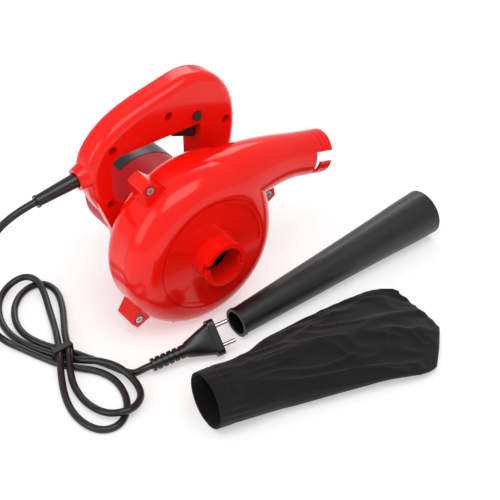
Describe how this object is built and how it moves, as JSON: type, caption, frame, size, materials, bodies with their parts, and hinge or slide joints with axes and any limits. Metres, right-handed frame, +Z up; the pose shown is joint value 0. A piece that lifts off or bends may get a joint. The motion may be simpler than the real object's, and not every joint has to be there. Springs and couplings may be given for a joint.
{
  "type": "car dryer blower",
  "caption": "hand-held mains blower with a scroll fan case, motor barrel, loop handle with trigger, slip-on tapered nozzle, cloth dust bag and mains lead",
  "frame": {"origin": "on the floor at the middle of the flat standing pad, below the fan axis, in the parting plane of the fan case", "axes": "+Z up, the fan axis lies along Y with the air intake facing -Y and the motor behind at +Y, the outlet points to +X"},
  "size_m": [0.4344, 0.3266, 0.2168],
  "materials": {
    "red_shell": "gloss red ABS, moulded",
    "red_barrel": "gloss red ABS, moulded",
    "black_plastic": "satin black, moulded",
    "dark_plastic": "matt black, moulded",
    "grey_plastic": "matt grey, moulded",
    "black_label": "matt film",
    "screw_steel": "zinc plated",
    "pin_brass": "nickel plated",
    "bearing_steel": "ground",
    "cast_alloy": "as cast",
    "fan_alloy": "satin",
    "core_steel": "laminated",
    "copper_wire": "varnished copper",
    "carbon": "pressed carbon",
    "brush_brass": "rolled brass",
    "cord_rubber": "satin",
    "bag_cloth": "woven black cloth",
    "cuff_elastic": "gathered black cloth",
    "wire_red": "satin"
  },
  "bodies": {
    "blower": {"front_volute": "red_shell", "rear_volute": "red_shell", "volute_screws": "screw_steel", "handle_front": "red_shell", "handle_rear": "red_shell", "handle_screws": "screw_steel", "frame_screws": "screw_steel", "motor_housing": "red_barrel", "rear_cap": "red_barrel", "cap_screws": "screw_steel", "rear_bracket": "cast_alloy", "label_band": "black_label", "bearing_plate": "cast_alloy", "plate_screws": "screw_steel", "front_bearing": "bearing_steel", "rear_bearing": "bearing_steel", "stator_core": "core_steel", "field_coils": "copper_wire", "brush_holders": "brush_brass", "carbon_brushes": "carbon", "brush_springs": "screw_steel", "switch_body": "grey_plastic", "supply_wires": "wire_red", "trigger_pin": "screw_steel", "trigger_spring": "screw_steel", "lock_spring": "screw_steel", "strain_relief": "cord_rubber", "cord_tail": "cord_rubber", "cord_clamp": "dark_plastic", "clamp_screws": "screw_steel", "power_cord": "cord_rubber", "cord_lead": "cord_rubber", "cord_bundle": "cord_rubber", "cord_tie": "black_plastic", "plug_body": "cord_rubber", "plug_pins": "pin_brass"},
    "rotor": {"motor_shaft": "bearing_steel", "impeller": "fan_alloy", "impeller_nut": "screw_steel", "armature_core": "core_steel", "armature_windings": "copper_wire", "commutator": "brush_brass", "cooling_fan": "dark_plastic"},
    "trigger": {"trigger": "dark_plastic", "switch_plunger": "dark_plastic"},
    "lock_button": {"lock_button": "dark_plastic"},
    "nozzle": {"nozzle": "black_plastic"},
    "dust_bag": {"dust_bag": "bag_cloth", "bag_cuff": "cuff_elastic"}
  },
  "joints": [
    {"name": "rotor_spin", "type": "hinge", "parent": "blower", "child": "rotor", "pos_m": [0, 0, 0.08], "axis": [0, 1, 0], "continuous": true},
    {"name": "trigger_pull", "type": "hinge", "parent": "blower", "child": "trigger", "pos_m": [0.0425, 0.048, 0.17], "axis": [0, 1, 0], "range_deg": [0, 8], "stiffness_Nm_per_rad": 0.4, "springref_deg": -5.73},
    {"name": "lock_press", "type": "slide", "parent": "blower", "child": "lock_button", "axis": [0, 1, 0], "range_m": [0, 0.003], "stiffness_N_per_m": 300, "springref_m": -0.001},
    {"name": "nozzle_lift", "type": "slide", "parent": "blower", "child": "nozzle", "axis": [0, 0, 1], "range_m": [0, 0.02]},
    {"name": "bag_lift", "type": "slide", "parent": "blower", "child": "dust_bag", "axis": [0, 0, 1], "range_m": [0, 0.06]}
  ]
}
